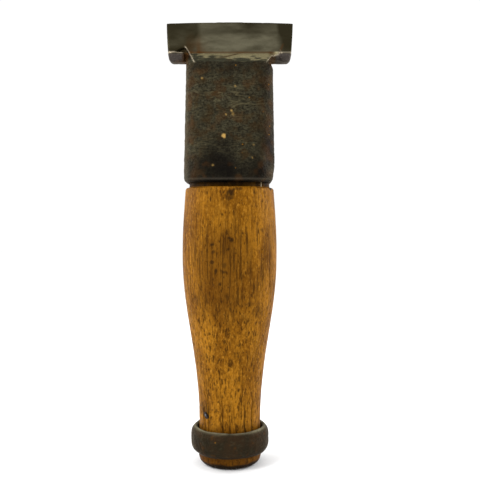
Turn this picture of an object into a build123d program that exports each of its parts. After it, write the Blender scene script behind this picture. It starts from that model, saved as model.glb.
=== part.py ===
from build123d import *
import os

# Short, wide socket chisel. A forged iron socket spreads into a T-shaped head: a broad, low
# blade with a flat back. A steel bit is welded on in a long scarf, and ground from the front
# with a bevel to the cutting edge.
# The handle's shaved tenon wedges in the socket, packed with a thin shim. A striking hoop sits
# round the butt end, and a nail above it keeps it from riding up.
# Millimetres. The tool stands on its butt: Z runs up the handle's axis to the cutting edge,
# X runs along the edge, and the bevel faces -Y.

# Turned grip: (radius, height) from the butt to the shoulder
butt_radius, butt_round = 16.6, 3.0
foot_swell = (16.7, 5.0)
waist = (16.4, 24.0)
lower_swell = (18.1, 50.5)
middle_swell = (21.8, 76.0)
upper_swell = (24.1, 94.5)
widest = (24.75, 110.5)
upper_taper = (24.25, 128.0)
shoulder_radius, shoulder_height, shoulder_round = 23.0, 145.4, 1.4

# Socket, outside: a straight mouth, then a taper in depth up to the head
mouth_height, mouth_length, mouth_round = 147.5, 6.0, 2.4
mouth_half_width, mouth_half_depth, mouth_corner = 23.25, 22.0, 13.0
neck_height, neck_half_width, neck_corner = 209.6, 22.6, 7.6
neck_front, back_plane = -6.0, 10.0

# Socket, hollow
bore_half_width, bore_half_depth, bore_corner = 20.5, 18.9, 11.5
bore_end_height = 203.0
bore_end_half_width, bore_end_half_depth, bore_end_corner = 18.4, 5.6, 5.0

# Tenon: the hollow's own taper, less a running clearance
tenon_clearance = 0.05
tenon_end_height = 197.0

# Blade, from the front: an outline of (half width, height), crowned at the edge
edge_corner = (33.3, 232.2)
edge_crown = 0.8
blade_foot = (32.2, 214.8)
wing_corner = (31.9, 212.8)
wing_foot = (30.4, 211.0)

# Blade, from the side: (y, height) up the front, from the socket's ledge to the edge
wing_front = 3.0
ledge_foot = (neck_front, neck_height)
ledge_top = (3.5, 215.5)
bevel_foot = (4.9, 224.8)
edge_thickness = 0.7
bevel_hollow = 0.25

# Height at which the steel bit's weld comes out on the back; on the front it is the bevel's foot
bit_back_foot = 213.0

# Striking hoop
hoop_bottom, hoop_top = 6.9, 20.9
hoop_outer_radius, hoop_foot_radius, hoop_lip_radius = 20.7, 18.4, 18.3
hoop_shoulder_in, hoop_shoulder_length = 0.6, 2.0
hoop_bore_radius = 16.78
hoop_mouth_radius, hoop_mouth_depth = 17.4, 3.0
hoop_lip_drop = 0.3

# Nail above the hoop: a cut nail with a flat oval head, leaning over to the left
nail_angle, nail_height, nail_lean = 224.5, 28.2, 22.0
nail_seat_radius = 16.45
nail_head_width, nail_head_length, nail_head_proud = 2.2, 3.8, 1.1
nail_head_sink = 0.5
nail_head_chamfer = 0.5
nail_shank_width, nail_shank_depth, nail_tip_width, nail_length = 1.7, 1.2, 0.7, 13.0

# Shim packed against the tenon
shim_x, shim_width, shim_depth, shim_top = 15.9, 0.8, 1.3, 162.0

margin = 1.0


def upright_section(half_width, front, back, corner, height):
    """Rounded rectangle at a height, from its half width and its front and back."""
    return Pos(0, (front + back) / 2, height) * RectangleRounded(2 * half_width, back - front, corner)


def hollow_section(height, inset):
    """The socket's hollow at a height, shrunk by an inset."""
    rise = (height - mouth_height) / (bore_end_height - mouth_height)
    half_width = bore_half_width + rise * (bore_end_half_width - bore_half_width) - inset
    half_depth = bore_half_depth + rise * (bore_end_half_depth - bore_half_depth) - inset
    corner = bore_corner + rise * (bore_end_corner - bore_corner) - inset
    middle = rise * (neck_front + back_plane) / 2
    return upright_section(half_width, middle - half_depth, middle + half_depth, corner, height)


def tapered_plug(bottom, top, inset=0.0):
    """Solid that fills the socket's hollow between two heights, shrunk by an inset."""
    return loft([hollow_section(bottom, inset), hollow_section(top, inset)])


def turned_grip():
    """The turned part of the handle, with a worn butt edge and an eased shoulder."""
    outline = Spline(
        (butt_radius, 0),
        foot_swell,
        waist,
        lower_swell,
        middle_swell,
        upper_swell,
        widest,
        upper_taper,
        (shoulder_radius, shoulder_height),
    )
    closing = Polyline((shoulder_radius, shoulder_height), (0, shoulder_height), (0, 0), (butt_radius, 0))
    grip = revolve(Plane.XZ * make_face(Curve() + [outline, closing]), Axis.Z)
    rims = grip.edges().filter_by(GeomType.CIRCLE).sort_by(Axis.Z)
    grip = fillet(rims[-1], shoulder_round)
    return fillet(grip.edges().filter_by(GeomType.CIRCLE).sort_by(Axis.Z)[0], butt_round)


def tenon_shim():
    """A thin strip of wood down the tenon's front right corner, standing on the shoulder."""
    length = shim_top - shoulder_height
    centre = Pos(shim_x, -bore_half_depth, shoulder_height + length / 2)
    skin = tapered_plug(shoulder_height, shim_top, tenon_clearance)
    core = tapered_plug(shoulder_height - margin, shim_top + margin, tenon_clearance + shim_depth)
    return centre * Box(shim_width, bore_half_depth, length) & (skin - core)


def hoop_nail():
    """A small cut nail driven square into the grip, its oval head standing proud."""
    half_length = nail_head_length / 2
    half_width = nail_head_width / 2
    rim = Pos(0, 0, nail_head_proud - nail_head_chamfer) * Ellipse(half_length, half_width)
    inner = Ellipse(half_length - nail_head_chamfer, half_width - nail_head_chamfer)
    head = loft([Pos(0, 0, -nail_head_sink) * inner, rim, Pos(0, 0, nail_head_proud) * inner], ruled=True)
    tip = Pos(0, 0, -nail_length) * Rectangle(nail_tip_width, nail_tip_width)
    shank = loft([tip, Rectangle(nail_shank_width, nail_shank_depth)])
    outward = Rot(0, 0, nail_angle) * Pos(nail_seat_radius, 0, nail_height) * Rot(0, 90, 0)
    return outward * Rot(0, 0, nail_lean) * (head + shank)


def handle():
    """Grip and tenon in one piece of wood, with seats for the nail and the shim."""
    tenon = tapered_plug(shoulder_height - margin, tenon_end_height, tenon_clearance)
    return turned_grip() + tenon - hoop_nail() - tenon_shim()


def socket_outside():
    """The socket as if solid: rounded mouth, tapered body, and a block up into the blade."""
    depth = mouth_half_depth
    mouth = upright_section(mouth_half_width, -depth, depth, mouth_corner, mouth_height)
    collar = extrude(mouth, mouth_length)
    collar = fillet(collar.faces().sort_by(Axis.Z)[0].edges(), mouth_round)
    neck = upright_section(neck_half_width, neck_front, back_plane, neck_corner, neck_height)
    body = loft([Pos(0, 0, mouth_length) * mouth, neck])
    block = extrude(neck, bevel_foot[1] - neck_height)
    return collar + body + block


def blade_bar():
    """The broad blade seen from the front, before its front is ground."""
    right = [edge_corner, blade_foot, wing_corner, wing_foot]
    left = [(-x, z) for x, z in reversed(right)]
    crown = ThreePointArc(left[-1], (0, edge_corner[1] + edge_crown), right[0])
    outline = make_face(Curve() + [crown, Polyline(*right, *left)])
    return Pos(0, back_plane, 0) * extrude(Plane.XZ * outline, back_plane - wing_front)


def front_grinding():
    """What grinding takes off the front: over the ledge, up the blade's face, then the bevel."""
    edge = (back_plane - edge_thickness, edge_corner[1] + edge_crown)
    reach = -mouth_half_depth - margin
    ceiling = edge[1] + margin
    middle = ((bevel_foot[0] + edge[0]) / 2 + bevel_hollow, (bevel_foot[1] + edge[1]) / 2 - bevel_hollow)
    bevel = ThreePointArc(bevel_foot, middle, edge)
    around = Polyline(
        edge, (edge[0], ceiling), (reach, ceiling), (reach, neck_height), ledge_foot, ledge_top, bevel_foot
    )
    return extrude(Plane.YZ * make_face(Curve() + [bevel, around]), 2 * edge_corner[0], both=True)


def forging():
    """Socket and blade as one forging, still without its hollow."""
    return socket_outside() + blade_bar() - front_grinding()


def above_weld():
    """Everything above the slanting plane that joins the steel bit to the iron."""
    behind = back_plane + margin
    before = bevel_foot[0] - margin
    slope = (bevel_foot[1] - bit_back_foot) / (back_plane - bevel_foot[0])
    ceiling = edge_corner[1] + 2 * margin
    side = Polyline(
        (before, bevel_foot[1] + slope * margin),
        (behind, bit_back_foot - slope * margin),
        (behind, ceiling),
        (before, ceiling),
        close=True,
    )
    return extrude(Plane.YZ * make_face(side), 2 * edge_corner[0], both=True)


def socket_head():
    """The forged iron: socket, neck and the blade's body, up to the weld."""
    return forging() - above_weld() - tapered_plug(mouth_height, bore_end_height)


def steel_bit():
    """The steel forge-welded to the iron: the bevel, the cutting edge and most of the back."""
    return forging() & above_weld()


def striking_hoop():
    """Barrel-shaped iron hoop, its upper mouth belled open by wear."""
    outside = Spline(
        (hoop_foot_radius, hoop_bottom),
        (hoop_outer_radius - hoop_shoulder_in, hoop_bottom + hoop_shoulder_length),
        (hoop_outer_radius, (hoop_bottom + hoop_top) / 2),
        (hoop_outer_radius - hoop_shoulder_in, hoop_top - hoop_shoulder_length),
        (hoop_lip_radius, hoop_top),
    )
    inside = Polyline(
        (hoop_lip_radius, hoop_top),
        (hoop_mouth_radius, hoop_top - hoop_lip_drop),
        (hoop_bore_radius, hoop_top - hoop_mouth_depth),
        (hoop_bore_radius, hoop_bottom),
        (hoop_foot_radius, hoop_bottom),
    )
    return revolve(Plane.XZ * make_face(Curve() + [outside, inside]), Axis.Z)


pieces = {
    "handle": handle(),
    "tenon_shim": tenon_shim(),
    "hoop_nail": hoop_nail(),
    "striking_hoop": striking_hoop(),
    "socket_head": socket_head(),
    "steel_bit": steel_bit(),
}

os.makedirs("parts", exist_ok=True)
for name, solid in pieces.items():
    export_step(solid, f"parts/{name}.step")
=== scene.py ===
import math

import bpy
import numpy as np
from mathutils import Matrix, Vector
from mathutils.bvhtree import BVHTree


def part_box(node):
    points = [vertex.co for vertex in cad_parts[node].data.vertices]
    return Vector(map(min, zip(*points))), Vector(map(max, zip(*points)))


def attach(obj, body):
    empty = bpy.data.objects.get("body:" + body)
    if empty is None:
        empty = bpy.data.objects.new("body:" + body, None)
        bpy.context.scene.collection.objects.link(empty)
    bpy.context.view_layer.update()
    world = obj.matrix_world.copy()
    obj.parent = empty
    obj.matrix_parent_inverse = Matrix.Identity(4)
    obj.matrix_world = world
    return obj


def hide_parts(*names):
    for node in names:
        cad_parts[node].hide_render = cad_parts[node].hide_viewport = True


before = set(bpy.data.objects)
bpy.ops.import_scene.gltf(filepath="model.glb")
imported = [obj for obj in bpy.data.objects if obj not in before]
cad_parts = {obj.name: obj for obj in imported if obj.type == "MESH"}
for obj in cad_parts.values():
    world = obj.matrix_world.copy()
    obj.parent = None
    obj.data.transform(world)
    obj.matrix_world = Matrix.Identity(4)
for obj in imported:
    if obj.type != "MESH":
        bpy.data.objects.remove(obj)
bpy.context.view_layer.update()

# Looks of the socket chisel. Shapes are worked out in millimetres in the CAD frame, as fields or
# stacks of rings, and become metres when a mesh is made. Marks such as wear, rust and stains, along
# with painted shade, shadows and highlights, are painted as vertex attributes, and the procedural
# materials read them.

MM = 0.001
NOISE_CELLS = 32


def node_box(name):
    """Lowest and highest corner of a CAD node, in millimetres."""
    low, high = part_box(name)
    return np.array(low) / MM, np.array(high) / MM


head_low, head_high = node_box("socket_head")
bit_low, bit_high = node_box("steel_bit")
nail_low, nail_high = node_box("hoop_nail")
shim_low, shim_high = node_box("tenon_shim")
HOOP_BOTTOM, HOOP_TOP = [corner[2] for corner in node_box("striking_hoop")]
SHOULDER = shim_low[2]
TENON_END = node_box("handle")[1][2]

# Head: heights from the socket's mouth up to the edge
MOUTH = head_low[2]
BODY_FOOT = MOUTH + 6.0
NECK = 209.6
WING_FOOT = 211.0
LEDGE_TOP = 215.5
LIP_TOP = 216.0
BEVEL_FOOT = head_high[2]
EDGE = bit_high[2]
CROWN = 0.8

# Head: the socket's section at its mouth and at its neck. The front has the lower y.
MOUTH_FRONT, MOUTH_BACK = head_low[1], head_high[1]
MOUTH_HALF_WIDTH, MOUTH_CORNER = 23.25, 13.0
NECK_FRONT, BACK = -6.0, bit_high[1]
NECK_HALF_WIDTH, NECK_CORNER = 22.6, 7.6

# Head: the blade, and the line that its front is ground to, as (y, height)
EDGE_HALF_WIDTH, EDGE_THICKNESS = bit_high[0], 0.7
WING_FRONT = 3.0
LEDGE_Y = 3.5
LEDGE_START, FACE_START = (NECK_FRONT, NECK), (LEDGE_Y, LEDGE_TOP)
BEVEL_START, BEVEL_END = (bit_low[1], BEVEL_FOOT), (BACK - EDGE_THICKNESS, EDGE)

# Head: the hollow, each size at the mouth and then at its end
BORE_HALF_WIDTHS, BORE_HALF_DEPTHS, BORE_CORNERS = (20.6, 18.5), (19.0, 5.7), (11.6, 5.1)
BORE_END = 203.0


# ---- shaping

def mix(a, b, share):
    return a + (b - a) * share


def ease(low, high, value):
    """0 up to low and 1 from high on, eased between. Low may be the greater."""
    share = np.clip((value - low) / (high - low), 0, 1)
    return share * share * (3 - 2 * share)


def peak(value, centre, width):
    """1 at the centre, falling away smoothly over width."""
    return np.exp(-((value - centre) / width) ** 2)


def noise(points, size, seed):
    """Smooth noise from -1 to 1 at rows of x, y, z. Its size is a length, or one per axis."""
    table = np.random.default_rng(seed).uniform(-1, 1, (NOISE_CELLS,) * 3)
    place = points / np.asarray(size, float)
    cell = np.floor(place).astype(int)
    share = ease(0, 1, place - cell)
    total = np.zeros(points.shape[:-1])
    for corner in np.ndindex(2, 2, 2):
        weight = np.prod(np.where(corner, share, 1 - share), axis=-1)
        at = (cell + corner) % NOISE_CELLS
        total += weight * table[at[..., 0], at[..., 1], at[..., 2]]
    return total


def layered_noise(points, size, seed, layers=3):
    """Noise with finer, weaker noise on top of it."""
    size = np.asarray(size, float)
    return sum(noise(points, size / 2 ** n, seed + n) / 2 ** n for n in range(layers))


def blend_min(a, b, reach):
    """The lesser of two fields, eased over reach: joins two shapes with a fillet."""
    share = np.clip(0.5 + 0.5 * (b - a) / reach, 0, 1)
    return mix(b, a, share) - reach * share * (1 - share)


def blend_max(a, b, reach):
    """The greater of two fields, eased over reach: the overlap of two shapes, its edge rounded."""
    return -blend_min(-a, -b, reach)


def rounded_section(x, y, half_width, half_depth, corner):
    """Distance from a rounded rectangle, negative inside."""
    across = np.abs(x) - half_width + corner
    along = np.abs(y) - half_depth + corner
    beyond = np.hypot(np.maximum(across, 0), np.maximum(along, 0))
    return beyond + np.minimum(np.maximum(across, along), 0) - corner


def plane_above(y, z, start, end):
    """Distance in front of the plane through two (y, z) points, along the X axis."""
    run = np.array(end) - np.array(start)
    along = run / np.hypot(*run)
    return (z - start[1]) * along[0] - (y - start[0]) * along[1]


def net_vertices(values):
    """A vertex in each cell that the surface crosses: its place, in cells, and its index."""
    cells = tuple(n - 1 for n in values.shape)
    total = np.zeros(cells + (3,))
    crossings = np.zeros(cells)
    for axis in range(3):
        for offset in np.ndindex(2, 2):
            start = np.insert(offset, axis, 0)
            end = start + np.eye(3, dtype=int)[axis]
            near = values[tuple(slice(s, s + n) for s, n in zip(start, cells))]
            far = values[tuple(slice(s, s + n) for s, n in zip(end, cells))]
            crossed = (near < 0) != (far < 0)
            place = np.broadcast_to(start.astype(float), cells + (3,)).copy()
            place[..., axis] += near / np.where(crossed, near - far, 1)
            total += place * crossed[..., None]
            crossings += crossed
    used = np.argwhere(crossings > 0)
    at = tuple(used.T)
    index = np.full(cells, -1)
    index[at] = np.arange(len(used))
    return used + total[at] / crossings[at][:, None], index


def net_quads(inside, index):
    """One quad round each edge of the grid that the surface crosses, facing out."""
    unit = np.eye(3, dtype=int)
    quads = []
    for axis in range(3):
        count = inside.shape[axis] - 1
        near = inside.take(range(count), axis)
        edges = np.argwhere(near != inside.take(range(1, count + 1), axis))
        first, second = unit[(axis + 1) % 3], unit[(axis + 2) % 3]
        around = [edges, edges - first, edges - first - second, edges - second]
        ring = np.stack([index[tuple(c.T)] for c in around], axis=1)
        facing = near[tuple(edges.T)]
        quads.append(np.where(facing[:, None], ring, ring[:, ::-1]))
    return np.concatenate(quads)


def surface_net(field, low, high, step):
    """Vertices and quads of the closed surface where field(x, y, z) is zero."""
    axes = [np.arange(a - 2 * step, b + 3 * step, step) for a, b in zip(low, high)]
    values = field(*np.meshgrid(*axes, indexing="ij", sparse=True))
    places, index = net_vertices(values)
    corner = np.array([a[0] for a in axes])
    return corner + places * step, net_quads(values < 0, index)


def ring_stack(rings):
    """Vertices and faces of the surface through rings of points, each end closed by a fan."""
    rows, columns = rings.shape[:2]
    ends = [rings[0].mean(axis=0), rings[-1].mean(axis=0)]
    vertices = np.concatenate([rings.reshape(-1, 3), ends])
    grid = np.arange(rows * columns).reshape(rows, columns)
    after = np.roll(grid, -1, axis=1)
    quads = np.stack([grid[:-1], after[:-1], after[1:], grid[1:]], axis=-1).reshape(-1, 4).tolist()
    bottom, top = rows * columns, rows * columns + 1
    quads += [(bottom, b, a) for a, b in zip(grid[0], after[0])]
    quads += [(top, a, b) for a, b in zip(grid[-1], after[-1])]
    return vertices, quads


def closed_sweep(rings):
    """Vertices and faces of the closed tube whose last ring joins its first."""
    rows, columns = rings.shape[:2]
    grid = np.arange(rows * columns).reshape(rows, columns)
    above = np.roll(grid, -1, axis=0)
    after = np.roll(grid, -1, axis=1)
    quads = np.stack([grid, after, np.roll(above, -1, axis=1), above], axis=-1)
    return rings.reshape(-1, 3), quads.reshape(-1, 4)


def new_piece(name, vertices, faces, body, node, material):
    """A smooth mesh piece, given in millimetres, that rides on a body and stands for a CAD node."""
    mesh = bpy.data.meshes.new(name)
    faces = faces.tolist() if isinstance(faces, np.ndarray) else faces
    mesh.from_pydata((vertices * MM).tolist(), [], faces)
    mesh.polygons.foreach_set("use_smooth", [True] * len(mesh.polygons))
    mesh.materials.append(material)
    piece = bpy.data.objects.new(name, mesh)
    bpy.context.scene.collection.objects.link(piece)
    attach(piece, body)
    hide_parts(node)
    return piece


def points_and_normals(piece):
    """A mesh's vertices in millimetres and its vertex normals."""
    found = {}
    for name in ("co", "normal"):
        values = np.zeros(len(piece.data.vertices) * 3, np.float32)
        piece.data.vertices.foreach_get(name, values)
        found[name] = values.reshape(-1, 3).astype(float)
    return found["co"] / MM, found["normal"]


def move_points(piece, points):
    """Puts a mesh's vertices at points given in millimetres."""
    piece.data.vertices.foreach_set("co", (points * MM).astype(np.float32).ravel())
    piece.data.update()


def paint(piece, name, values):
    """Stores one number per vertex, from 0 to 1, for the material to read."""
    layer = piece.data.attributes.new(name, "FLOAT", "POINT")
    layer.data.foreach_set("value", np.clip(values, 0, 1).astype(np.float32))


# ---- material nodes

COLOUR_A, COLOUR_B, MIXED = 6, 7, 2


def new_material(name):
    """A material with its own shader; returns the material, its node tree and the shader."""
    material = bpy.data.materials.new(name)
    material.use_nodes = True
    return material, material.node_tree, material.node_tree.nodes["Principled BSDF"]


def set_sockets(tree, node, sockets):
    """Links each input that is given as another node's socket, and sets the others."""
    for name, value in sockets.items():
        if isinstance(value, bpy.types.NodeSocket):
            tree.links.new(value, node.inputs[name])
        else:
            node.inputs[name].default_value = value


def add_node(tree, kind, sockets, **settings):
    """A node with its settings made and its sockets set or linked."""
    node = tree.nodes.new(kind)
    for name, value in settings.items():
        setattr(node, name, value)
    set_sockets(tree, node, sockets)
    return node


def object_place(tree, scale=(1, 1, 1)):
    """Object coordinates, stretched per axis."""
    place = add_node(tree, "ShaderNodeTexCoord", {}).outputs["Object"]
    return add_node(tree, "ShaderNodeMapping", {"Vector": place, "Scale": scale}).outputs["Vector"]


def noise_texture(tree, place, size, detail=4.0, roughness=0.55, distortion=0.0):
    """Noise whose largest features are about size millimetres."""
    sockets = {
        "Vector": place, "Scale": 1 / (size * MM), "Detail": detail, "Roughness": roughness,
        "Distortion": distortion,
    }
    return add_node(tree, "ShaderNodeTexNoise", sockets).outputs["Fac"]


def grain_texture(tree, stretch, size, **settings):
    """Noise drawn out along the wood's grain, up Z: the lower the stretch, the longer it is."""
    return noise_texture(tree, object_place(tree, (1, 1, stretch)), size, **settings)


def painted(tree, name):
    """What was painted under this name, as a socket."""
    return add_node(tree, "ShaderNodeAttribute", {}, attribute_name=name).outputs["Fac"]


def span(tree, value, low, high, to_low=0.0, to_high=1.0):
    """Maps low..high to to_low..to_high, smoothly and without going past them."""
    sockets = {
        "Value": value, "From Min": low, "From Max": high, "To Min": to_low, "To Max": to_high,
    }
    node = add_node(tree, "ShaderNodeMapRange", sockets, interpolation_type="SMOOTHSTEP")
    return node.outputs["Result"]


def math_node(tree, operation, a, b):
    return add_node(tree, "ShaderNodeMath", {0: a, 1: b}, operation=operation).outputs[0]


def product(tree, a, b):
    return math_node(tree, "MULTIPLY", a, b)


def with_alpha(colour):
    """A colour as a socket takes it; another node's socket is left as it is."""
    return colour if isinstance(colour, bpy.types.NodeSocket) else (*colour, 1)


def colour_mix(tree, share, a, b):
    """Two colours mixed; each may be a colour or a socket."""
    sockets = {0: share, COLOUR_A: with_alpha(a), COLOUR_B: with_alpha(b)}
    return add_node(tree, "ShaderNodeMix", sockets, data_type="RGBA").outputs[MIXED]


def layers(tree, colour, *over):
    """A colour with others laid over it in turn, each given with its share."""
    for share, upper in over:
        colour = colour_mix(tree, share, colour, upper)
    return colour


def bump(tree, height, depth, below=None, strength=1.0):
    """Relief from a height of 0 to 1, depth millimetres deep, on top of another relief."""
    sockets = {"Height": height, "Distance": depth * MM, "Strength": strength}
    if below is not None:
        sockets["Normal"] = below
    return add_node(tree, "ShaderNodeBump", sockets).outputs["Normal"]


# ---- materials

WOOD_PALE, WOOD_LIGHT = (0.41, 0.185, 0.018), (0.30, 0.122, 0.006)
WOOD_MIDDLE, WOOD_DARK = (0.185, 0.069, 0.002), (0.062, 0.020, 0.0005)
PORE, STAIN_AND_SHADE = (0.024, 0.009, 0.001), (0.008, 0.004, 0.001)
SHIM_DARK, SHIM_LIGHT = (0.16, 0.11, 0.05), (0.34, 0.27, 0.16)
WOOD_SHEEN = (1.0, 0.72, 0.42)

IRON_BLACK, IRON_DARK = (0.004, 0.0032, 0.0024), (0.013, 0.0105, 0.0052)
IRON_LIGHT, IRON_BROWN = (0.050, 0.045, 0.026), (0.030, 0.0150, 0.0035)
RUST, OCHRE, TAN = (0.060, 0.024, 0.005), (0.36, 0.15, 0.01), (0.42, 0.26, 0.075)
WRINKLE_HIGHLIGHT, SCALE_GREY, BARE_AND_HIGHLIT_IRON = (0.078, 0.067, 0.034), (0.062, 0.052, 0.046), (0.55, 0.47, 0.34)
FACE_DARK, FACE_LIGHT = (0.020, 0.0165, 0.0075), (0.110, 0.100, 0.064)
FACE_MIDDLE = tuple(mix(dark, light, 0.45) for dark, light in zip(FACE_DARK, FACE_LIGHT))
LEDGE_DARK, LEDGE_PALE = (0.040, 0.039, 0.024), (0.245, 0.212, 0.115)
HOOP_BLACK, HOOP_BROWN = (0.017, 0.0125, 0.0065), (0.026, 0.0150, 0.0070)
NAIL_DARK, NAIL_LIGHT = (0.020, 0.014, 0.011), (0.048, 0.038, 0.034)
WORN_AND_LIT_HOOP, WORN_AND_LIT_NAIL = (0.15, 0.135, 0.085), (0.17, 0.18, 0.21)
GRAZING_TINT = (0.50, 0.46, 0.38)

SPECK_SPACING = 3.4


def wood_pores(tree):
    """Dark pores: long ones where the grain is open, and short flecks."""
    lines = grain_texture(tree, 0.035, 0.90, detail=2, roughness=0.6)
    flecks = grain_texture(tree, 0.24, 0.80, detail=2, roughness=0.5, distortion=0.5)
    long_pores = product(tree, span(tree, lines, 0.53, 0.62, 0, 0.85), painted(tree, "open_grain"))
    raised_flecks = math_node(tree, "ADD", flecks, painted(tree, "fleck_bias"))
    short_pores = span(tree, raised_flecks, 0.64, 0.72)
    return math_node(tree, "MAXIMUM", long_pores, short_pores)


def wood_colour(tree, streaks, pores):
    """Streaked and mottled brown, darkened by dirt and painted shade, by pores, and by stains,
    painted shadow and painted shade.
    """
    broad = grain_texture(tree, 0.35, 10.0, detail=3)
    mottle = grain_texture(tree, 0.45, 0.95, detail=4, roughness=0.75)
    return layers(
        tree, WOOD_MIDDLE,
        (span(tree, broad, 0.36, 0.62), WOOD_LIGHT),
        (span(tree, mottle, 0.50, 0.66, 0, 0.70), WOOD_PALE),
        (span(tree, mottle, 0.48, 0.34, 0, 0.60), WOOD_DARK),
        (span(tree, streaks, 0.46, 0.66, 0, 0.50), WOOD_DARK),
        # Dirt and painted shade
        (product(tree, painted(tree, "grime_and_shade"), 0.80), WOOD_DARK),
        (product(tree, pores, 0.72), PORE),
        # Stains, with painted shadow at the foot and shoulder and painted shade on the tenon
        (painted(tree, "stain_and_shade"), STAIN_AND_SHADE),
    )


def wood_material():
    """Open-grained hardwood, oiled and worn, its streaks and pores running up Z."""
    material, tree, shader = new_material("handle_wood")
    streaks = grain_texture(tree, 0.06, 1.6, detail=5, roughness=0.75)
    pores = wood_pores(tree)
    gloss = span(tree, streaks, 0.3, 0.7, 0.42, 0.58)
    relief = bump(tree, span(tree, streaks, 0.3, 0.7, 1, 0), 0.03)
    relief = bump(tree, math_node(tree, "SUBTRACT", 1.0, pores), 0.10, relief)
    set_sockets(tree, shader, {
        "Base Color": wood_colour(tree, streaks, pores),
        "Roughness": math_node(tree, "ADD", gloss, product(tree, pores, 0.2)),
        "Specular IOR Level": 0.04,
        "Sheen Weight": 0.05,
        "Sheen Roughness": 0.18,
        "Sheen Tint": with_alpha(WOOD_SHEEN),
        "Normal": relief,
    })
    return material


def shim_material():
    """Pale split wood, hardly stained."""
    material, tree, shader = new_material("shim_wood")
    grain = grain_texture(tree, 0.1, 0.4, detail=4)
    set_sockets(tree, shader, {
        "Base Color": colour_mix(tree, span(tree, grain, 0.35, 0.65), SHIM_DARK, SHIM_LIGHT),
        "Roughness": 0.7,
        "Normal": bump(tree, grain, 0.05),
    })
    return material


def iron_relief(tree, pit_size, pit_depth, calm=None):
    """Relief of a fine grain over open pits; calm, from 0 to 1, smooths it. Also pits and grain."""
    strength = 1.0 if calm is None else span(tree, calm, 0.0, 1.0, 1.0, 0.06)
    grain = noise_texture(tree, object_place(tree), 1.1, detail=3, roughness=0.65)
    pit_place = object_place(tree, (1, 1, 1.8))
    pits = noise_texture(tree, pit_place, pit_size, detail=4, roughness=0.6, distortion=0.4)
    relief = bump(tree, span(tree, pits, 0.35, 0.62), pit_depth, strength=strength)
    relief = bump(tree, span(tree, grain, 0.35, 0.65), 0.09, relief, strength)
    return relief, pits, grain


def forge_wrinkles(tree):
    """Thin level ridges where the iron crept under the hammer: 1 on a ridge, where painted."""
    place = object_place(tree, (0.22, 0.22, 1.0))
    wander = noise_texture(tree, place, 2.5, detail=1, roughness=0.4, distortion=1.2)
    from_middle = math_node(tree, "ABSOLUTE", math_node(tree, "SUBTRACT", wander, 0.5), 0.0)
    return product(tree, span(tree, from_middle, 0.0, 0.06, 1, 0), painted(tree, "wrinkles"))


def add_rust(tree, colour, grain):
    """Rust where painted, and a few loose specks of it anywhere."""
    colour = colour_mix(tree, painted(tree, "rust"), colour, RUST)
    sockets = {"Vector": object_place(tree), "Scale": 1 / (SPECK_SPACING * MM)}
    cells = add_node(tree, "ShaderNodeTexVoronoi", sockets)
    near = span(tree, cells.outputs["Distance"], 0.06, 0.16, 1, 0)
    draw = add_node(tree, "ShaderNodeSeparateColor", {"Color": cells.outputs["Color"]}).outputs[0]
    specks = product(tree, near, span(tree, draw, 0.86, 0.90))
    specks = product(tree, specks, span(tree, grain, 0.35, 0.5))
    return colour_mix(tree, product(tree, specks, 0.45), colour, OCHRE)


def scale_colour(tree, pits, grain, wrinkles):
    """Hammered iron: black and brown, its wrinkles paler as a painted highlight, with scale,
    painted shade, flecks and rust.
    """
    cloud = noise_texture(tree, object_place(tree), 6.0, detail=5, roughness=0.6)
    colour = layers(
        tree, IRON_DARK,
        (span(tree, pits, 0.34, 0.66, 0.1, 0.85), IRON_LIGHT),
        (span(tree, grain, 0.46, 0.62, 0.0, 0.65), IRON_BLACK),
        (span(tree, cloud, 0.48, 0.66, 0, 0.55), IRON_BROWN),
        # The wrinkles' ridges painted paler: a painted highlight
        (product(tree, wrinkles, 0.75), WRINKLE_HIGHLIGHT),
        (painted(tree, "scale"), SCALE_GREY),
        # Painted shade, black, on the socket's foot, mouth, pocket, right side and top
        (painted(tree, "socket_painted_shade"), IRON_BLACK),
        (painted(tree, "ochre"), TAN),
    )
    return add_rust(tree, colour, grain)


def ground_colour(tree):
    """The ground face's grey-olive patina, dark where shade is painted and brown where rusted."""
    veil = noise_texture(tree, object_place(tree, (0.5, 1, 1.3)), 5.0, detail=4)
    return layers(
        tree, FACE_MIDDLE,
        (span(tree, veil, 0.25, 0.65), FACE_LIGHT),
        (painted(tree, "shade"), FACE_DARK),
        (painted(tree, "rust"), RUST),
    )


def ledge_colour(tree):
    """The ledge above the socket: pale where painted, partly a painted highlight, and brown where
    rust is painted.
    """
    pale = painted(tree, "pale")
    return layers(tree, LEDGE_DARK, (pale, LEDGE_PALE), (painted(tree, "rust"), RUST))


def finish_metal(tree, shader, colour, roughness, relief, metallic=0.6):
    """Old iron and steel: half metal, its reflections weak and tinted where light grazes it."""
    set_sockets(tree, shader, {
        "Base Color": colour,
        "Roughness": roughness,
        "Metallic": metallic,
        "Specular IOR Level": 0.15,
        "Specular Tint": with_alpha(GRAZING_TINT),
        "Normal": relief,
    })


def forged_material():
    """Hammered iron with a smoother ground face and a pale ledge, both where they are painted."""
    material, tree, shader = new_material("forged_iron")
    ground = painted(tree, "ground")
    relief, pits, grain = iron_relief(tree, 1.5, 0.10, ground)
    wrinkles = forge_wrinkles(tree)
    relief = bump(tree, wrinkles, 0.24, relief)
    colour = layers(
        tree, scale_colour(tree, pits, grain, wrinkles),
        (ground, ground_colour(tree)),
        (painted(tree, "ledge"), ledge_colour(tree)),
        # Bare metal where worn, and painted highlights and reflection on edges, corners and the
        # left
        (painted(tree, "wear_and_highlight"), BARE_AND_HIGHLIT_IRON),
    )
    finish_metal(tree, shader, colour, span(tree, ground, 0.0, 1.0, 0.45, 0.36), relief)
    return material


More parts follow.
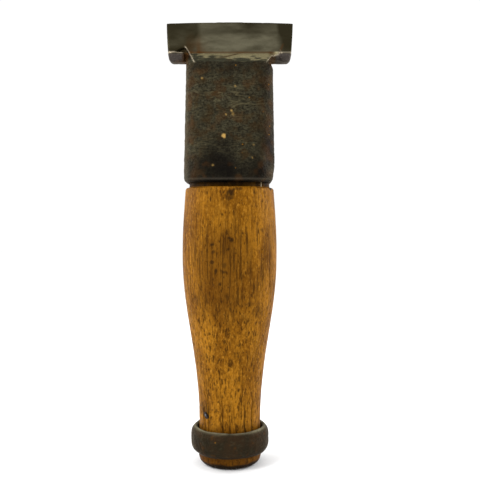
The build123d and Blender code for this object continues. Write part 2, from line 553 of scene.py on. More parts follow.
def steel_material():
    """The bit: smooth ground steel, patinated, brighter where the edge is worn."""
    material, tree, shader = new_material("blade_steel")
    across = object_place(tree, (0.25, 1, 3.0))
    scratches = noise_texture(tree, across, 1.0, detail=5, roughness=0.7)
    colour = colour_mix(tree, painted(tree, "wear_and_highlight"), ground_colour(tree), BARE_AND_HIGHLIT_IRON)
    roughness = span(tree, scratches, 0.3, 0.7, 0.30, 0.42)
    finish_metal(tree, shader, colour, roughness, bump(tree, scratches, 0.02))
    return material


def hoop_material():
    """Brown-black iron, rubbed paler where worn, and painted paler for highlights and for light
    inside its shaded mouth.
    """
    material, tree, shader = new_material("hoop_iron")
    relief, pits, grain = iron_relief(tree, 2.6, 0.10)
    cloud = noise_texture(tree, object_place(tree), 6.0, detail=4)
    colour = colour_mix(tree, span(tree, cloud, 0.35, 0.65), HOOP_BLACK, HOOP_BROWN)
    colour = colour_mix(tree, span(tree, pits, 0.52, 0.68, 0, 0.3), colour, IRON_LIGHT)
    colour = add_rust(tree, colour, grain)
    # Paler where worn, and painted highlights and painted light in the mouth
    colour = colour_mix(tree, painted(tree, "wear_and_highlight"), colour, WORN_AND_LIT_HOOP)
    finish_metal(tree, shader, colour, 0.42, relief)
    return material


def nail_material():
    """Dark pitted iron, blue-grey where the hammer has polished it, with a painted highlight there.
    """
    material, tree, shader = new_material("nail_iron")
    relief, pits, _ = iron_relief(tree, 0.8, 0.08)
    pitted = span(tree, pits, 0.4, 0.6)
    colour = layers(tree, NAIL_DARK, (pitted, NAIL_LIGHT), (painted(tree, "wear_and_highlight"), WORN_AND_LIT_NAIL))
    finish_metal(tree, shader, colour, 0.5, relief, metallic=0.5)
    return material


# ---- head and bit

# Blade from the front: its half width at each height
BLADE_HEIGHTS, BLADE_HALF_WIDTHS = [WING_FOOT, 212.6, 215.0, 232.2], [30.4, 31.8, 32.2, 33.3]

# Upper edge of the hollow on the left wing: x, then height
POCKET_BROW = [-32.0, -27.9, -25.5, -23.2], [216.3, 217.3, 218.4, 219.0]

# How far out the ledge ends: on the left, and on the right at each height
LEFT_LEDGE_END = 19.5
RIGHT_LEDGE_END = [208.7, 213.3, 215.1], [18.6, 21.4, 25.2]

# The bright line at its right end, which runs on up the face: x, then height
RIGHT_LEDGE_LINE = [18.6, 21.4, 25.7, 27.8], [208.7, 213.3, 215.1, 220.4]

HEAD_CELL, BIT_CELL = 0.5, 0.35


def socket_body(x, y, z):
    """Outside of the socket, as if solid, its front right corner worn flat low down."""
    rise = np.clip((z - BODY_FOOT) / (NECK - BODY_FOOT), 0, 1)
    front = mix(MOUTH_FRONT, NECK_FRONT, rise)
    back = mix(MOUTH_BACK, BACK, rise)
    half_width = mix(MOUTH_HALF_WIDTH, NECK_HALF_WIDTH, rise)
    corner = mix(MOUTH_CORNER, NECK_CORNER, rise)
    body = rounded_section(x, y - (front + back) / 2, half_width, (back - front) / 2, corner)
    fade = 4 * ease(160, 172, z)
    facet = (x - half_width) * 0.80 - (y - front) * 0.60 + 0.4 * corner + 0.7 - fade
    body = blend_max(body, facet, 0.6)
    knocked_off = x - 21.9 - 0.16 * (z - MOUTH)
    body = blend_max(body, knocked_off, 0.8)
    return blend_max(body, MOUTH - z, 2.6)


def blade_bar(x, y, z):
    """The broad bar of the blade, with rounded lower corners."""
    half_width = np.interp(z, BLADE_HEIGHTS, BLADE_HALF_WIDTHS)
    bar = blend_max(np.abs(x) - half_width, WING_FOOT - z, 0.8)
    return blend_max(bar, WING_FRONT - y, 2.4)


def ground_front(x, y, z):
    """In front of the ledge, the blade's face and the bevel: what grinding has taken away."""
    ledge = plane_above(y, z, LEDGE_START, FACE_START)
    sag = 0.7 * peak(x, 8.0, 9.0) + 0.25 * np.sin(x / 3.1)
    lip_rise = 0.75 * ease(22.5, 24.0, np.abs(x))
    ledge = ledge + sag * ease(1.0, -4.0, y) - lip_rise
    face = plane_above(y, z, FACE_START, BEVEL_START)
    bevel = plane_above(y, z, BEVEL_START, BEVEL_END)
    return blend_min(ledge, blend_max(face, bevel, 2.4), 0.25)


def beside_ridge(x, z):
    """How far right a point lies of the ridge that bounds the left wing's pocket."""
    fall = np.clip((219.0 - z) / 10.1, 0, 1)
    return (x + 23.4 - 5.4 * fall ** 0.85) * 0.85


def wing_sinks(x, z):
    """Depth of the hollows where the wings leave the socket: a ridged pocket left, a dip right."""
    brow = np.interp(x, *POCKET_BROW)
    lip_top = LIP_TOP - 1.5 * ease(-24.6, -23.4, x)
    off_lip = ease(lip_top + 0.1, lip_top + 0.5, z)
    left = ease(-0.1, 1.2, brow - z) * ease(0.12, -0.12, beside_ridge(x, z))
    left *= ease(210.0, 215.5, z) * mix(1.0, off_lip, ease(-22.6, -24.4, x))
    left *= 0.25 + 0.75 * ease(-29.5, -25.5, x)
    beside_ledge = (x - 24.5) * 0.671 - (z - 214.6) * 0.741
    right = ease(-0.1, 0.5, beside_ledge) * ease(27.6, 25.6, x)
    right *= ease(206.5, 209.5, z)
    return 2.0 * left + 0.9 * right


def forging(x, y, z):
    """Socket and blade together, as if solid: negative inside the metal."""
    solid = blend_min(socket_body(x, y, z), blade_bar(x, y, z), 1.2)
    solid = blend_max(solid, ground_front(x, y, z), 0.3)
    solid = solid + wing_sinks(x, z) * ease(8.5, 6.5, y)
    crown = EDGE - CROWN * (x / EDGE_HALF_WIDTH) ** 2 - z
    solid = blend_max(solid, -crown, 0.25)
    return blend_max(solid, y - BACK - np.clip(NECK - z, 0, None), 0.5)


def hollow(x, y, z):
    """The socket's tapered hollow."""
    rise = (z - MOUTH) / (BORE_END - MOUTH)
    middle = mix(0.0, (NECK_FRONT + BACK) / 2, rise)
    half_width = mix(*BORE_HALF_WIDTHS, rise)
    half_depth = mix(*BORE_HALF_DEPTHS, rise)
    bore = rounded_section(x, y - middle, half_width, half_depth, mix(*BORE_CORNERS, rise))
    return blend_max(bore, z - BORE_END, 1.0)


def above_weld(y, z):
    """Distance above the slanting weld between the iron and the steel bit."""
    return plane_above(y, z, BEVEL_START, (BACK, bit_low[2]))


def head_field(x, y, z):
    """The iron. It runs on a little way under the steel, so that no groove shows at the weld."""
    past_weld = above_weld(y, z)
    solid = forging(x, y, z) + 0.05 * ease(-0.3, 0.2, past_weld)
    return np.maximum(np.maximum(solid, past_weld - 0.6), -hollow(x, y, z))


def bit_field(x, y, z):
    """The steel, from the weld to the cutting edge."""
    return np.maximum(forging(x, y, z), -above_weld(y, z))


def off_back(y):
    """1 on the blade's front and ends, falling to 0 on its flat back."""
    return ease(BACK - 0.5, BACK - 1.2, y)


def from_ledge(y, z):
    """Distance from the plane of the ledge."""
    return np.abs(plane_above(y, z, LEDGE_START, FACE_START))


def ledge_marks(points):
    """1 on the ledge, with a ragged outline, and how pale it is there, partly as a painted
    highlight: palest along its top.
    """
    x, y, z = points.T
    ragged = 0.5 * noise(points, 1.6, 41)
    end = np.where(x > 0, np.interp(z, *RIGHT_LEDGE_END), LEFT_LEDGE_END)
    on_ledge = ease(1.9, 1.0, from_ledge(y, z) + ragged)
    on_ledge *= ease(LEDGE_Y + 0.2, LEDGE_Y - 0.2, y)
    within_ends = ease(0.8, 0.0, np.abs(x) - end)
    on_ledge *= within_ends * ease(NECK - 0.6, NECK + 0.4, z + ragged)
    height = (z - NECK) / (LEDGE_TOP - NECK)
    blotches = layered_noise(points, (3.0, 2.5, 1.3), 43)
    # Pale cream, partly a painted highlight where the ledge faces up
    pale = ease(0.35, 0.95, height + 0.55 * blotches + 0.30 * ease(-8, 6, x))
    return on_ledge, pale * on_ledge


def blade_shade(points):
    """Painted shade on the ground face, for its darker reflections: most at the wings, at the
    bevel's ends and along the top.
    """
    x, y, z = points.T
    on_bevel = ease(BEVEL_FOOT - 4.0, BEVEL_FOOT + 3.0, z)
    wings = np.maximum(ease(-12, -22, x), ease(23, 29, x))
    ends = np.maximum(ease(-6, -22, x), ease(16, 30, x))
    wander = 0.5 * noise(points, (9, 9, 7), 49)
    wings = np.clip(wings + 0.6 * on_bevel * ends * (1 + wander), 0, 1) * mix(0.3, 1.0, off_back(y))
    top = 0.55 * ease(222.5, 227.0, z) + 0.3 * ease(EDGE - 1.4, EDGE, z)
    cloud = 0.34 * layered_noise(points, (10, 10, 4), 47)
    return np.maximum(wings, top) + cloud * (1 - 0.55 * wings)


def front_rust(points):
    """Rust on the front: marks above, across and beside the ledge, the line along its top also a
    painted shadow, then a veil up the face.
    """
    x, y, z = points.T
    front = off_back(y)
    # Rust, and painted shadow, along the line where the face meets the ledge
    crease_rust_and_shadow = peak(z, LEDGE_TOP + 0.35, 0.6) * ease(24.5, 21, np.abs(x)) * front
    streak = peak(z - 212.0 - 0.35 * (x + 4.7), 0.0, 0.55) * peak(x, 0.0, 5.0)
    streak *= from_ledge(y, z) < 2
    flanks = ease(2.4, 0.8, np.abs(np.abs(x + 0.4) - 22.6))
    flanks = flanks * ease(206, 210, z) * ease(217, 215, z)
    seam = peak(x - 25.7 - (z - 215.1) * 0.4, 0.0, 0.45)
    seam = seam * ease(214, 216, z) * ease(221.5, 219.5, z)
    beside_pocket = peak(x, -18.0, 5.0) * ease(229, 216, z) * (z > LEDGE_TOP) * front
    veil = 0.40 * beside_pocket * (1 + noise(points, (2, 2, 6), 59))
    return 0.65 * crease_rust_and_shadow + 0.8 * streak + (0.50 * flanks + 0.7 * seam) * front, veil


def socket_rust(points):
    """Rust on the socket all round: blooms of it, and more up its sides."""
    x, _, z = points.T
    blooms = ease(0.30, 0.85, layered_noise(points, (5, 5, 6), 53))
    blooms *= ease(LEDGE_TOP, LEDGE_TOP - 3, z)
    sides = ease(12, 20, np.abs(x)) * ease(212, 204, z)
    sides *= ease(-0.3, 0.7, noise(points, 4, 57))
    return 0.30 * blooms, 0.34 * sides


def paint_blade(piece, points):
    """Marks that head and bit share: the ground face and its painted shade, the pale ledge, partly
    a painted highlight, and rust, with painted shadow along the ledge's top.
    """
    _, y, z = points.T
    on_ledge, pale = ledge_marks(points)
    marks, veil = front_rust(points)
    blooms, sides = socket_rust(points)
    paint(piece, "ground", ease(LEDGE_TOP - 0.4, LEDGE_TOP + 0.3, z) * off_back(y))
    paint(piece, "shade", blade_shade(points))
    paint(piece, "ledge", on_ledge)
    paint(piece, "pale", pale)
    paint(piece, "rust", marks + blooms + sides + veil)


def worn_and_highlit_edges(x, y, z):
    """Where edges are rubbed bright and painted with highlights: the tops of the lips, the pocket's
    ridge, the ledge's end.
    """
    lip_height = LIP_TOP + 0.25 * peak(x, -29.0, 2.0)
    lip = peak(z, lip_height, 0.30) * ease(23.6, 24.4, np.abs(x)) * (y < 5.0)
    lip = 0.8 * lip * np.where(x < 0, 1.0, 0.55)
    ridge = peak(beside_ridge(x, z), 0.12, 0.25)
    ridge = ridge * ease(208.6, 210, z) * ease(219.6, 218.6, z)
    end = peak(z - np.interp(x, *RIGHT_LEDGE_LINE), 0, 0.35)
    end = end * ease(18.4, 20.5, x) * ease(26.8, 25.8, x)
    return lip + 0.80 * ridge * (y < LEDGE_Y + 1.5) + 0.6 * end * (y < LEDGE_Y + 1)


def forge_marks(points):
    """Depth of the hammer's dents, scale and pits on the iron, always inwards."""
    hammer = 0.5 + 0.5 * noise(points, (10, 10, 13), 3)
    folds = np.clip(0.5 + layered_noise(points, (6.5, 6.5, 1.9), 5), 0, 1)
    pits = np.clip(layered_noise(points, 2.0, 9) - 0.25, 0, 1)
    return 0.16 * hammer + 0.16 * folds + 0.20 * pits


# Flecks of yellow rust on the socket's front: x, height, half width, half height, strength
SOCKET_SPECKS = [
    (-2.7, 170.6, 1.2, 1.2, 1.00), (-1.6, 181.6, 0.5, 0.5, 0.75), (1.2, 183.4, 0.4, 0.6, 0.65),
    (1.9, 181.8, 0.6, 1.0, 0.35), (-13.8, 200.4, 0.5, 0.6, 0.45), (2.9, 196.3, 0.5, 0.5, 0.45),
    (-7.9, 155.8, 0.6, 0.6, 0.40), (11.5, 159.5, 0.5, 0.5, 0.35), (12.2, 166.0, 0.4, 0.5, 0.35),
]


def surface_marks(points, marks, raggedness):
    """Strength, from 0 to 1, of ragged oval marks on the front, each given as in the lists."""
    x, y, z = points[..., 0], points[..., 1], points[..., 2]
    ragged = raggedness * layered_noise(points, (1.1, 1.1, 1.6), 91)
    total = np.zeros(points.shape[:-1])
    for across, height, half_width, half_height, strength in marks:
        away = np.hypot((x - across) / half_width, (z - height) / half_height)
        total = np.maximum(total, strength * ease(1.25, 0.55, away + ragged) * (y < 0))
    return total


def head_painted_shade(points):
    """Painted shade, black: on the socket's foot and rolled mouth, in the pocket, on the right and
    at the top.
    """
    x, _, z = points.T
    low = 0.80 * ease(165, 153, z) + 0.75 * peak(x, -6.0, 9.0) * peak(z, 163.0, 9.0)
    rolled = 0.95 * ease(MOUTH + 4.0, MOUTH + 2.4, z)
    pocket = ease(0.25, 1.1, wing_sinks(x, z)) * ease(211.5, 214.5, z) * (x < 0)
    right_side = 0.45 * ease(211, 207, z) + 0.35 * ease(182, 172, z)
    right_side *= ease(15, 20, x)
    top = 0.30 * ease(200, 207, z) * ease(LEDGE_TOP, LEDGE_TOP - 2, z)
    darkest = np.maximum.reduce([low, rolled, pocket, right_side])
    return darkest + top + 0.25 * layered_noise(points, (8, 8, 8), 63)


def wing_scale(points):
    """Grey scale on the wings, below the ground face."""
    x, _, z = points.T
    scale = ease(23.0, 25.0, np.abs(x)) * ease(LEDGE_TOP + 0.6, LEDGE_TOP - 0.4, z)
    return scale * (0.9 + 0.3 * noise(points, (4, 4, 3), 67))


def socket_wrinkles(points):
    """Patches of forging wrinkles, strongest across the socket's middle, high up and low down."""
    x, _, z = points.T
    creased = peak(x, 0.0, 17.0) * ease(176, 184, z) * ease(205, 198, z)
    crackled = 0.7 * ease(176, 170, z) * ease(152, 158, z) * peak(x, 0.0, 18.0)
    patches = ease(-0.6, 0.2, noise(points, (8, 8, 5), 65))
    return (0.10 + np.maximum(creased, crackled)) * patches


def head_wear_and_highlights(points, outside):
    """Bare metal and painted light: the bright edges, worn and painted as highlights, a little
    painted highlight on the mouth's rim and its corners, and a painted reflection on the left.
    """
    x, y, z = points.T
    # Painted highlights on the mouth's lower corners and along its rim
    corners = peak(np.abs(x), 21.5, 1.6) * peak(z, MOUTH + 4.5, 4.0) * outside
    rim = peak(z, MOUTH + 1.6, 0.5) * outside * 0.05 + 0.05 * corners * ease(-5, -12, y)
    # Painted reflection down the socket's left side
    left_flank = 0.05 * ease(-20.5, -22.4, x) * ease(211, 205, z) * outside
    return worn_and_highlit_edges(x, y, z) + rim + left_flank * (0.6 + 0.4 * noise(points, 4, 61))


def build_head(material):
    """The forged socket and blade, rough below the ledge and smooth on the ground face."""
    low = [-EDGE_HALF_WIDTH, MOUTH_FRONT, MOUTH]
    high = [EDGE_HALF_WIDTH, MOUTH_BACK, BEVEL_FOOT]
    vertices, quads = surface_net(head_field, low, high, HEAD_CELL)
    piece = new_piece(
        "forged_head", vertices, quads, "head", "socket_head", material
    )
    points, normals = points_and_normals(piece)
    x, y, z = points.T
    rough = 0.5 * ease(LEDGE_TOP - 0.5, LEDGE_TOP - 3.0, z) + 0.5 * ease(206, 199, z)
    outside = ease(0.8, 1.6, hollow(x, y, z))
    depth = (0.04 + 0.96 * rough) * outside * forge_marks(points)
    move_points(piece, points - normals * depth[:, None])
    paint_blade(piece, points)
    # Painted shade, black, on the socket's foot, mouth, pocket, right side and top
    paint(piece, "socket_painted_shade", head_painted_shade(points))
    paint(piece, "scale", wing_scale(points))
    paint(piece, "ochre", surface_marks(points, SOCKET_SPECKS, 0.35))
    paint(piece, "wrinkles", socket_wrinkles(points))
    # Bare metal where worn, with painted highlights and a painted reflection
    paint(piece, "wear_and_highlight", head_wear_and_highlights(points, outside))


def build_bit(material):
    """The steel bit, almost smooth, with small nicks along its edge."""
    vertices, quads = surface_net(bit_field, bit_low, bit_high, BIT_CELL)
    piece = new_piece("ground_bit", vertices, quads, "head", "steel_bit", material)
    points, normals = points_and_normals(piece)
    height = points[:, 2]
    nicks = np.clip(layered_noise(points, (2.6, 3, 3), 71) - 0.35, 0, 1)
    nicks *= ease(EDGE - 1.5, EDGE, height)
    depth = 0.03 * (1 + noise(points, 5, 73)) / 2 + 0.12 * nicks
    move_points(piece, points - normals * depth[:, None])
    paint_blade(piece, points)
    paint(piece, "wear_and_highlight", 0.05 * ease(EDGE - 0.6, EDGE, height))


# ---- handle

# Stains on the grip's front, the last a painted shadow at the shoulder's right end: x, height, half
# width, half height, strength
GRIP_STAINS = [
    (1.0, 142.5, 2.0, 3.0, 0.80), (-0.5, 140.0, 1.6, 2.0, 0.50), (3.4, 144.0, 3.0, 0.9, 0.55),
    (-8.4, 116.5, 1.2, 1.0, 0.75), (-7.9, 113.0, 0.9, 0.8, 0.60), (-8.4, 108.0, 1.3, 0.9, 0.60),
    (-6.4, 103.7, 0.7, 1.3, 0.80), (-2.5, 103.2, 1.6, 1.0, 0.65), (-2.2, 106.2, 0.9, 1.6, 0.50),
    (0.0, 120.0, 0.9, 0.8, 0.70), (1.4, 118.9, 1.0, 1.1, 0.80), (-0.5, 114.5, 1.0, 0.6, 0.60),
    (-4.5, 97.2, 0.8, 0.8, 0.60), (16.4, 123.8, 1.2, 1.0, 0.45), (14.6, 84.0, 1.4, 3.5, 0.35),
    (10.2, 86.5, 2.4, 1.2, 0.30), (-16.0, 88.0, 1.3, 3.0, 0.30), (-13.0, 31.0, 3.0, 4.0, 0.45),
    # A painted shadow at the shoulder's right end
    (20.8, 144.9, 0.7, 0.9, 1.20),
]

TURNED_ROUND, WORN_ROUND = 3.0, 4.8
CRACK_COUNT, CRACK_DEPTH = 17, 0.55
CLEAR_OF_TOOL = 0.1


def cad_radii(node, heights, angles, outward=False):
    """Radius of a CAD node at each height and angle, by a ray towards, or from, the Z axis."""
    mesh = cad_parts[node].data
    tree = BVHTree.FromPolygons([v.co for v in mesh.vertices], [p.vertices for p in mesh.polygons])
    radii = np.zeros((len(heights), len(angles)))
    for row, height in enumerate(heights):
        on_axis = Vector((0, 0, height * MM))
        for column, angle in enumerate(angles):
            away = Vector((math.cos(angle), math.sin(angle), 0))
            start = on_axis if outward else away * CLEAR_OF_TOOL + on_axis
            hit = tree.ray_cast(start, away if outward else -away)[0]
            radii[row, column] = math.hypot(hit.x, hit.y) / MM
    return radii


def full_turn(count):
    """Angles all the way round, each once."""
    return np.linspace(0, 2 * math.pi, count, endpoint=False)


def polar_rings(radii, heights, angles):
    """Rings of points from radii by row and column, with one height per row."""
    heights = np.broadcast_to(heights[:, None], radii.shape)
    return np.stack([radii * np.cos(angles), radii * np.sin(angles), heights], axis=-1)


def worn_butt(heights):
    """How far the butt's edge is worn in beyond its turned rounding."""
    rise = np.clip(WORN_ROUND - heights, 0, WORN_ROUND)
    turned_rise = np.clip(TURNED_ROUND - heights, 0, TURNED_ROUND)
    worn = WORN_ROUND - np.sqrt(WORN_ROUND ** 2 - rise ** 2)
    return worn - TURNED_ROUND + np.sqrt(TURNED_ROUND ** 2 - turned_rise ** 2)


def drying_cracks(points, angles):
    """1 in the cracks that run up from the butt, each with its own reach and a wandering line."""
    heights = points[..., 2]
    wander = 0.05 * noise(points, (30, 30, 14), 83)
    cracks = np.zeros_like(heights)
    for turn in np.arange(0, 2 * math.pi, 2 * math.pi / CRACK_COUNT):
        reach = 14 + 16 * (0.5 + 0.5 * math.sin(5 * turn))
        line = np.angle(np.exp(1j * (angles + wander - turn - 0.10 * math.sin(9 * turn))))
        cracks += peak(line, 0, 0.016) * ease(18 + reach, 10 + reach, heights)
    return np.clip(cracks, 0, 1) * ease(46, 24, heights) * ease(6, 9, heights)


def grip_wear(points):
    """How far the grip lies below its turned surface: shallow flats, raised grain and knocks."""
    flats = 0.10 * (1 + noise(points, (14, 14, 22), 81))
    grain = 0.05 * (1 + layered_noise(points, (1.3, 1.3, 9.0), 85))
    knocks = 0.35 * np.clip(layered_noise(points, (3.2, 3.2, 4.5), 87) - 0.45, 0, 1)
    return flats + grain + knocks


def grip_rings(angles):
    """Rings up the grip and over its shoulder's edge, and how far each point is in a crack."""
    butt = [0.02, 0.12, 0.3, 0.6, 1.0, 1.5, 2.0, 2.6]
    grip = np.arange(3.2, SHOULDER - 1.6, 0.56)
    edge = SHOULDER - np.array([1.4, 1.1, 0.8, 0.5, 0.25, 0.08])
    heights = np.concatenate([butt, grip, edge])
    radii = cad_radii("handle", heights, angles)
    radii[:] = np.median(radii, axis=1, keepdims=True)
    radii -= worn_butt(heights)[:, None]
    rings = polar_rings(radii, heights, angles)
    cracks = drying_cracks(rings, angles)
    depth = grip_wear(rings) + CRACK_DEPTH * cracks
    rings[..., :2] *= (1 - depth / radii)[..., None]
    return rings, cracks


def tenon_rings(angles):
    """Rings up the tenon, a little uneven where it was shaved."""
    heights = np.linspace(SHOULDER + 0.1, TENON_END - 0.02, 40)
    radii = cad_radii("handle", heights, angles)
    rings = polar_rings(radii, heights, angles)
    shaved = 0.10 + 0.10 * noise(rings, (6, 6, 12), 95)
    rings[..., :2] *= (1 - shaved / radii)[..., None]
    return rings


def grip_stains_and_shadows(rings, cracks):
    """Dark marks on the grip, one of them a painted shadow at the shoulder, and in its cracks, with
    a painted shadow round the foot that it stands on.
    """
    marks = np.maximum(surface_marks(rings, GRIP_STAINS, 0.45), 0.75 * cracks)
    # Painted shadow round the foot, where it meets the floor
    foot = rings[..., 2] + 0.6 * noise(rings, 4, 97)
    return np.maximum(marks, 0.97 * ease(3.8, 2.4, foot))


def tenon_shade(rings):
    """Painted shade on the tenon, deepest from the gap under the socket upwards."""
    up_gap = ease(SHOULDER, MOUTH + 0.5, rings[..., 2])
    return 0.85 + 0.12 * up_gap + 0.12 * noise(rings, (2, 2, 8), 99)


def paint_grain(piece, points):
    """Dirt on the butt, left off in one streak as a painted highlight; painted shade next to the
    hoop; dirt and painted shade where the grip is held; and how open the grain is.
    """
    x, y, z = points.T
    front = ease(4, -12, y)
    # The front's middle, darker: dirt and painted shade
    belly = front * peak(x, -2.0, 13.0) * ease(68, 90, z) * ease(132, 116, z)
    held_grime_and_shade = 0.85 * belly + 0.30 * ease(0.1, 0.9, layered_noise(points, (12, 12, 20), 141))
    # Painted highlight: a streak on the butt kept light
    butt_highlight = peak(x, 10.0, 7.0) * peak(z - 0.08 * x, 4.4, 1.3) * front
    butt = ease(9.0, 6.5, z) * (1.1 - butt_highlight)
    # Painted shade on the wood next to the hoop
    hoop_shade = 0.65 * ease(27, 20, z)
    paint(piece, "grime_and_shade", held_grime_and_shade + butt + hoop_shade)
    paint(piece, "open_grain", 0.35 + 0.65 * ease(70, 88, z) * ease(134, 118, z))
    paint(piece, "fleck_bias", 0.035 + 0.05 * ease(92, 70, z))


def build_handle(material):
    """Grip and tenon as one stick of wood."""
    angles = full_turn(300)
    grip, cracks = grip_rings(angles)
    tenon = tenon_rings(angles)
    vertices, faces = ring_stack(np.concatenate([grip, tenon]))
    piece = new_piece("handle_grip", vertices, faces, "handle", "handle", material)
    # Stains and painted shadow on the grip, painted shade on the tenon
    on_rings = np.concatenate([grip_stains_and_shadows(grip, cracks), tenon_shade(tenon)])
    at_end_centres = [0.5, 0.5]
    paint(piece, "stain_and_shade", np.concatenate([on_rings.ravel(), at_end_centres]))
    paint_grain(piece, vertices)


# ---- hoop, nail and shim

# The nail's place on the grip: angle round the Z axis, distance from it, and lean to the left
NAIL_ANGLE, NAIL_SEAT, NAIL_LEAN = 224.5, 16.45, 34.0

# The nail from its tip to its head: distance out from the grip, half length, half width
NAIL_SECTIONS = [
    (-13.0, 0.35, 0.35), (-9.0, 0.48, 0.42), (-5.0, 0.62, 0.50), (-0.55, 0.84, 0.60),
    (-0.5, 1.40, 0.60), (0.3, 1.85, 0.90), (0.6, 2.00, 1.00), (0.85, 1.95, 0.95),
    (1.02, 1.70, 0.80), (1.1, 1.25, 0.55), (1.1, 0.50, 0.25),
]

# The shim leans in with the tenon's taper: the y of its middle at its foot and top
SHIM_FOOT_Y, SHIM_TOP_Y = -16.35, -12.9
SHIM_HALF_DEPTH = 0.62


def hoop_rings(angles):
    """Rings up the hoop's outside, over its lip and down its bore, and 1 for those outside."""
    share = (1 - np.cos(np.linspace(0.02, math.pi - 0.02, 52))) / 2
    up = mix(HOOP_BOTTOM + 0.02, HOOP_TOP - 0.03, share)
    down = mix(HOOP_TOP - 0.05, HOOP_BOTTOM + 0.02, np.linspace(0, 1, 30))
    outer = cad_radii("striking_hoop", up, angles)
    inner = cad_radii("striking_hoop", down, angles, outward=True)
    rings = np.concatenate([polar_rings(outer, up, angles), polar_rings(inner, down, angles)])
    return rings, np.concatenate([np.ones_like(outer), np.zeros_like(inner)])


def batter_hoop(rings, outside):
    """Makes the hoop's ends uneven, and dents its outside."""
    x, y, z = rings[..., 0], rings[..., 1], rings[..., 2]
    around = np.stack([x, y, np.zeros_like(z)], axis=-1)
    uneven = 0.25 * (1 + noise(around, 7, 103)) + 0.05 * (1 + noise(around, 2.3, 104))
    lowered = ease(HOOP_BOTTOM + 8, HOOP_TOP, z) * uneven
    near_bottom = ease(HOOP_BOTTOM + 5, HOOP_BOTTOM, z)
    raised = near_bottom * 0.5 * (1 + noise(around, 9, 105)) / 2
    rings[..., 2] += raised - lowered
    dents = 0.12 * (1 + noise(rings, (6, 6, 5), 107)) / 2
    dents += 0.12 * np.clip(layered_noise(rings, 2.4, 109), 0, 1)
    rings[..., :2] *= (1 - outside * dents / np.hypot(x, y))[..., None]


def build_hoop(material):
    """Barrel-shaped hoop, battered; its lip rubbed pale and painted with a highlight, its shaded
    mouth painted lighter, and its left side painted with a highlight.
    """
    angles = full_turn(380)
    rings, outside = hoop_rings(angles)
    batter_hoop(rings, outside)
    vertices, faces = closed_sweep(rings)
    piece = new_piece(
        "striking_hoop_iron", vertices, faces, "hoop", "striking_hoop", material
    )
    points, normals = points_and_normals(piece)
    height = points[:, 2]
    # The lip: worn pale, with a painted highlight
    lip = peak(height, HOOP_TOP - 0.40, 0.60)
    lip *= ease(-1.3, 0.3, layered_noise(points, (6, 6, 9), 111))
    # Painted highlight on the side that faces left
    left = 0.18 * ease(0.75, 0.98, -normals[:, 0])
    left *= ease(-0.3, 0.6, noise(points, 5, 113))
    # Painted light inside the mouth, which is in shade
    mouth = 0.5 * (1 - outside).ravel() * ease(HOOP_TOP - 4, HOOP_TOP, height)
    paint(piece, "wear_and_highlight", 0.9 * lip + left + mouth)
    paint(piece, "rust", 0.5 * ease(0.45, 0.9, layered_noise(points, 3.0, 115)))


def nail_rings():
    """Rings up the nail along Z: a tapered shank, then a flat oval head with a dished top."""
    angles = full_turn(64)
    rings = []
    for level, half_length, half_width in NAIL_SECTIONS:
        squareness = 0.55 if level < 0 else 0.85
        across = half_width * np.sign(np.sin(angles)) * np.abs(np.sin(angles)) ** squareness
        along = half_length * np.sign(np.cos(angles)) * np.abs(np.cos(angles)) ** squareness
        rings.append(np.stack([along, across, np.full_like(angles, level)], axis=-1))
    rings = np.array(rings)
    along, across, level = rings[..., 0], rings[..., 1], rings[..., 2]
    dished = ease(1.9, 0.2, np.hypot(along, 1.6 * across)) * (level > 0.8)
    rings[..., 2] -= 0.28 * dished + 0.06 * (1 + noise(rings, 0.8, 121)) * (level > 0)
    return rings


def build_nail(material):
    """The nail, driven square into the grip, with a spot on its head polished by the hammer and
    painted as a highlight.
    """
    vertices, faces = ring_stack(nail_rings())
    facing, lean = math.radians(NAIL_ANGLE), math.radians(NAIL_LEAN)
    out = np.array([math.cos(facing), math.sin(facing), 0.0])
    side = np.array([-math.sin(facing), math.cos(facing), 0.0])
    down = np.array([0.0, 0.0, -1.0])
    long_axis = math.cos(lean) * down + math.sin(lean) * side
    cross_axis = -math.sin(lean) * down + math.cos(lean) * side
    along, across, level = vertices.T
    seat = out * NAIL_SEAT + np.array([0, 0, (nail_low[2] + nail_high[2]) / 2])
    placed = seat + np.outer(along, long_axis)
    placed += np.outer(across, cross_axis) + np.outer(level, out)
    piece = new_piece("hoop_nail_iron", placed, faces, "handle", "hoop_nail", material)
    # The spot is polished, and painted brighter as a highlight
    polished = ease(0.9, 0.3, np.hypot(along + 0.3, 1.3 * across))
    paint(piece, "wear_and_highlight", 0.8 * polished * (level > 0))


def build_shim(material):
    """A split strip of wood beside the tenon, thinner towards its top."""
    heights = np.linspace(shim_low[2] + 0.02, shim_high[2] - 0.02, 60)
    angles = full_turn(28)
    half_width = (shim_high[0] - shim_low[0]) / 2
    middle_x = (shim_low[0] + shim_high[0]) / 2
    rings = []
    for height in heights:
        share = (height - shim_low[2]) / (shim_high[2] - shim_low[2])
        x = middle_x + half_width * mix(1.0, 0.45, share) * np.cos(angles)
        middle_y = mix(SHIM_FOOT_Y, SHIM_TOP_Y, share)
        y = middle_y + SHIM_HALF_DEPTH * mix(1.0, 0.5, share) * np.sin(angles)
        rings.append(np.stack([x, y, np.full_like(angles, height)], axis=-1))
    rings = np.array(rings)
    rings[..., 0] -= 0.06 * (1 + noise(rings, (0.5, 0.5, 3), 131))
    vertices, faces = ring_stack(rings)
    new_piece("tenon_shim_wood", vertices, faces, "handle", "tenon_shim", material)


# ---- studio

FLOOR_HALF = 3.0
FLOOR_WHITE = (0.97, 0.97, 0.97)
SKY_STRENGTH = 1.04
LIGHT_TARGET = (0, 0, 0.12)

# Name, place, size and power of each light
STUDIO_LIGHTS = [
    ("key", (-0.60, -0.70, 0.95), 0.45, 7.0),
    ("left_rim", (-0.90, 0.40, 0.45), 0.50, 4.0),
    ("right_rim", (0.90, 0.35, 0.50), 0.50, 5.0),
]

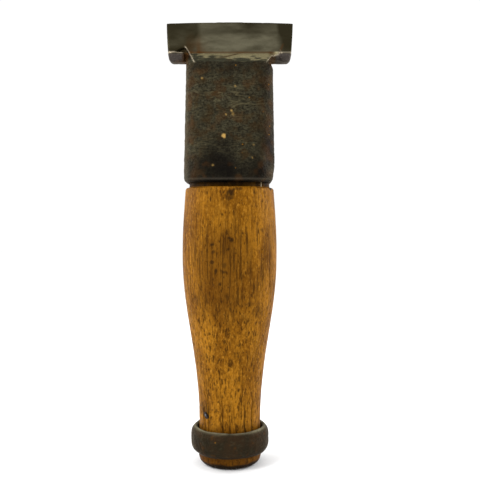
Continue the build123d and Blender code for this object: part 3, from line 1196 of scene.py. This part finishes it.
CAMERA_PLACE = (0.0054, -0.37793, 0.12695)
CAMERA_DIP = 3.681
LENS, SENSOR_WIDTH, SHIFT_UP = 54, 36, 0.0625


def add_floor():
    """A pale floor, large enough that its edge is out of sight."""
    mesh = bpy.data.meshes.new("floor")
    corners = [(FLOOR_HALF * x, FLOOR_HALF * y, 0) for x, y in ((-1, -1), (1, -1), (1, 1), (-1, 1))]
    mesh.from_pydata(corners, [], [(0, 1, 2, 3)])
    floor = bpy.data.objects.new("floor", mesh)
    bpy.context.scene.collection.objects.link(floor)
    material, tree, shader = new_material("floor_paper")
    set_sockets(tree, shader, {"Base Color": with_alpha(FLOOR_WHITE), "Roughness": 0.9})
    mesh.materials.append(material)


def add_area_light(name, place, size, power):
    """A round light that faces the middle of the tool."""
    light = bpy.data.lights.new(name, "AREA")
    light.shape = "DISK"
    light.size = size
    light.energy = power
    lamp = bpy.data.objects.new(name, light)
    lamp.location = place
    lamp.rotation_euler = (Vector(LIGHT_TARGET) - Vector(place)).to_track_quat("-Z", "Y").to_euler()
    bpy.context.scene.collection.objects.link(lamp)


def add_studio():
    """Bright surroundings, a broad light from above on the left, and one at each side behind."""
    world = bpy.data.worlds.new("surroundings")
    world.use_nodes = True
    background = world.node_tree.nodes["Background"]
    background.inputs["Color"].default_value = (1, 1, 1, 1)
    background.inputs["Strength"].default_value = SKY_STRENGTH
    bpy.context.scene.world = world
    bpy.context.scene.view_settings.view_transform = "Standard"
    for light in STUDIO_LIGHTS:
        add_area_light(*light)


def add_camera():
    """Just right of the tool's axis, half way up, looking slightly down."""
    data = bpy.data.cameras.new("camera")
    data.sensor_width = SENSOR_WIDTH
    data.lens = LENS
    data.shift_y = SHIFT_UP
    camera = bpy.data.objects.new("camera", data)
    camera.location = CAMERA_PLACE
    camera.rotation_euler = (math.radians(90 - CAMERA_DIP), 0, 0)
    bpy.context.scene.collection.objects.link(camera)
    bpy.context.scene.camera = camera


build_head(forged_material())
build_bit(steel_material())
build_handle(wood_material())
build_hoop(hoop_material())
build_nail(nail_material())
build_shim(shim_material())
add_floor()
add_studio()
add_camera()
